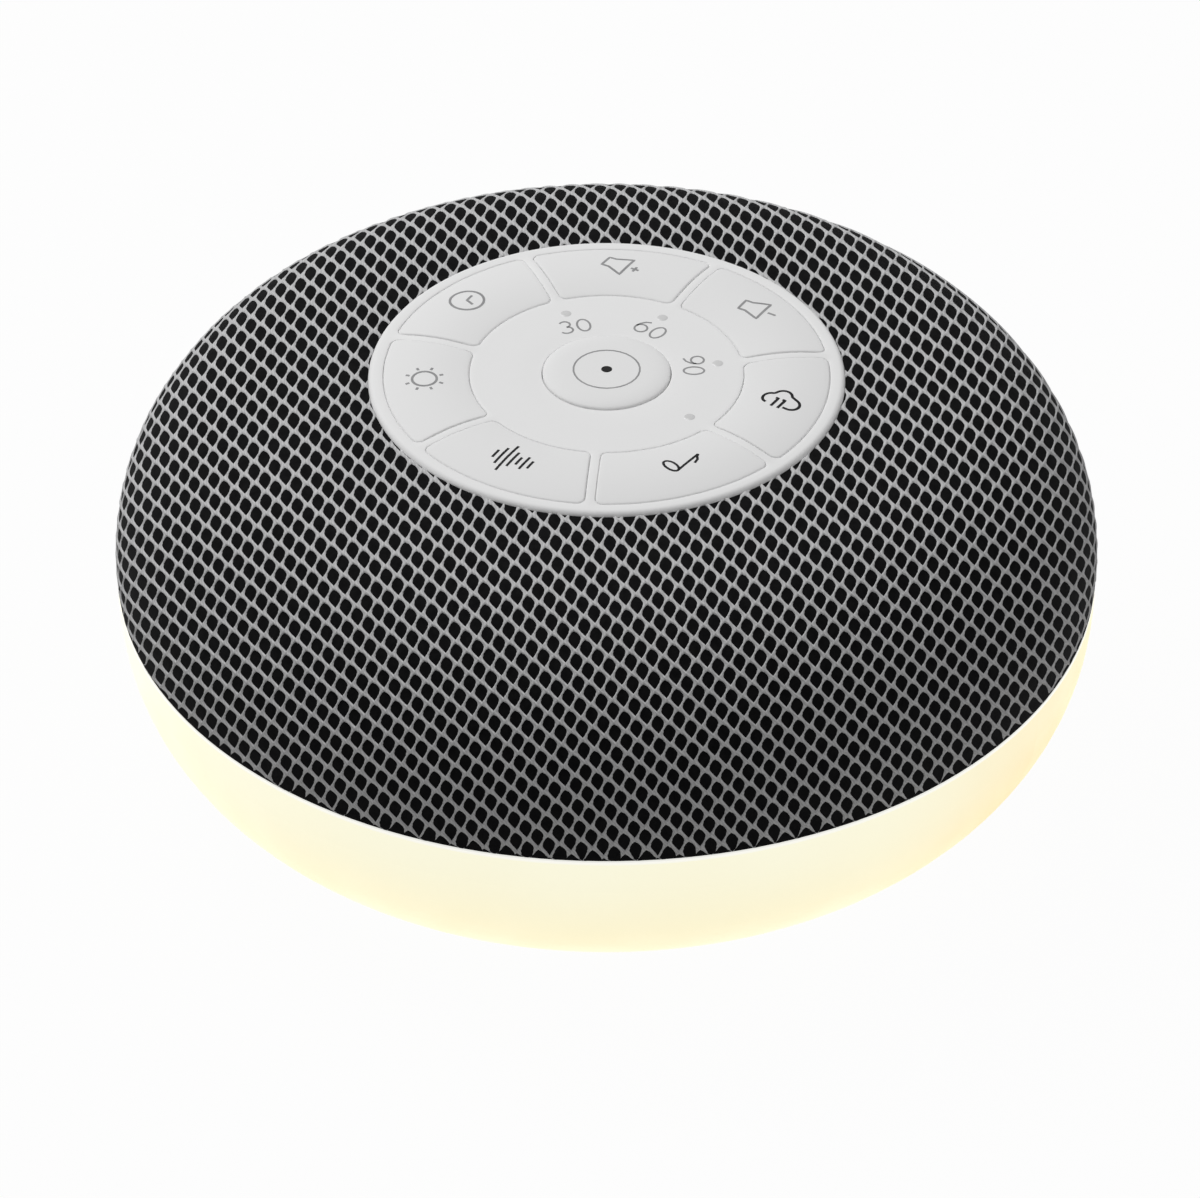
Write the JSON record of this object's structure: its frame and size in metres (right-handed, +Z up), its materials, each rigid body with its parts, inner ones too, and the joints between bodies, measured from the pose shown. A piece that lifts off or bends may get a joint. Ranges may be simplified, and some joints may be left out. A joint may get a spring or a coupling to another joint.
{
  "type": "white noise sound machine",
  "caption": "Round bedside sound machine: fabric-covered dome over a glowing lamp bowl, with a round panel of sector keys and a raised power key on top.",
  "frame": {"origin": "on the table under the middle of the foot ring, where the object rests", "axes": "+Z up along the body's axis, -Y towards the front key (white noise), +Y towards the power inlet"},
  "size_m": [0.145, 0.145, 0.0668],
  "materials": {
    "mesh_fabric": "knitted mesh, grey net over black",
    "black_plastic": "moulded black",
    "lamp_diffuser": "translucent opal, lit warm",
    "base_plastic": "moulded, fine grain",
    "foot_rubber": "matt",
    "screw_steel": "plated",
    "panel_plastic": "soft satin",
    "key_plastic": "soft satin",
    "mat_silicone": "matt",
    "circuit_board": "solder mask",
    "circuit_board_white": "white solder mask",
    "switch_plastic": "moulded",
    "led_white": "phosphor cap",
    "lens_plastic": "clear grey",
    "foam_black": "closed-cell foam",
    "basket_steel": "black",
    "magnet_ferrite": "ferrite",
    "cone_paper": "pressed paper",
    "surround_rubber": "satin",
    "reflector_white": "white",
    "chip_black": "moulded",
    "capacitor_can": "can",
    "socket_steel": "plated",
    "cell_foil": "foil",
    "cable_white": "flat",
    "cable_black": "flat",
    "cable_red": "flat"
  },
  "bodies": {
    "housing": {"base_plate": "base_plastic", "base_screws": "screw_steel", "battery_cell": "cell_foil", "battery_lead": "cable_red", "board_chips": "chip_black", "board_screws": "screw_steel", "capacitors": "capacitor_can", "chassis": "black_plastic", "chassis_screws": "screw_steel", "control_board": "circuit_board", "control_panel": "panel_plastic", "diffuser_bowl": "lamp_diffuser", "dust_cap": "cone_paper", "fabric_cover": "mesh_fabric", "foot_ring": "foot_rubber", "grille_shell": "black_plastic", "indicator_leds": "led_white", "indicator_lenses": "lens_plastic", "key_mat": "mat_silicone", "lamp_board": "circuit_board_white", "lamp_lead": "cable_black", "lamp_leds": "led_white", "main_board": "circuit_board", "main_board_screws": "screw_steel", "reflector": "reflector_white", "ribbon_cable": "cable_white", "speaker_basket": "basket_steel", "speaker_cone": "cone_paper", "speaker_gasket": "foam_black", "speaker_lead": "cable_black", "speaker_magnet": "magnet_ferrite", "speaker_screws": "screw_steel", "speaker_surround": "surround_rubber", "tact_switches": "switch_plastic", "usb_socket": "socket_steel"},
    "white_noise_key": {"white_noise_key": "key_plastic"},
    "music_key": {"music_key": "key_plastic"},
    "nature_key": {"nature_key": "key_plastic"},
    "volume_down_key": {"volume_down_key": "key_plastic"},
    "volume_up_key": {"volume_up_key": "key_plastic"},
    "timer_key": {"timer_key": "key_plastic"},
    "light_key": {"light_key": "key_plastic"},
    "power_key": {"power_key": "key_plastic"}
  },
  "joints": [
    {"name": "white_noise_press", "type": "slide", "parent": "housing", "child": "white_noise_key", "axis": [0, 0, -1], "range_m": [0, 0.0005], "stiffness_N_per_m": 800, "springref_m": -0.0006},
    {"name": "music_press", "type": "slide", "parent": "housing", "child": "music_key", "axis": [0, 0, -1], "range_m": [0, 0.0005], "stiffness_N_per_m": 800, "springref_m": -0.0006},
    {"name": "nature_press", "type": "slide", "parent": "housing", "child": "nature_key", "axis": [0, 0, -1], "range_m": [0, 0.0005], "stiffness_N_per_m": 800, "springref_m": -0.0006},
    {"name": "volume_down_press", "type": "slide", "parent": "housing", "child": "volume_down_key", "axis": [0, 0, -1], "range_m": [0, 0.0005], "stiffness_N_per_m": 800, "springref_m": -0.0006},
    {"name": "volume_up_press", "type": "slide", "parent": "housing", "child": "volume_up_key", "axis": [0, 0, -1], "range_m": [0, 0.0005], "stiffness_N_per_m": 800, "springref_m": -0.0006},
    {"name": "timer_press", "type": "slide", "parent": "housing", "child": "timer_key", "axis": [0, 0, -1], "range_m": [0, 0.0005], "stiffness_N_per_m": 800, "springref_m": -0.0006},
    {"name": "light_press", "type": "slide", "parent": "housing", "child": "light_key", "axis": [0, 0, -1], "range_m": [0, 0.0005], "stiffness_N_per_m": 800, "springref_m": -0.0006},
    {"name": "power_press", "type": "slide", "parent": "housing", "child": "power_key", "axis": [0, 0, -1], "range_m": [0, 0.0005], "stiffness_N_per_m": 800, "springref_m": -0.0006}
  ]
}
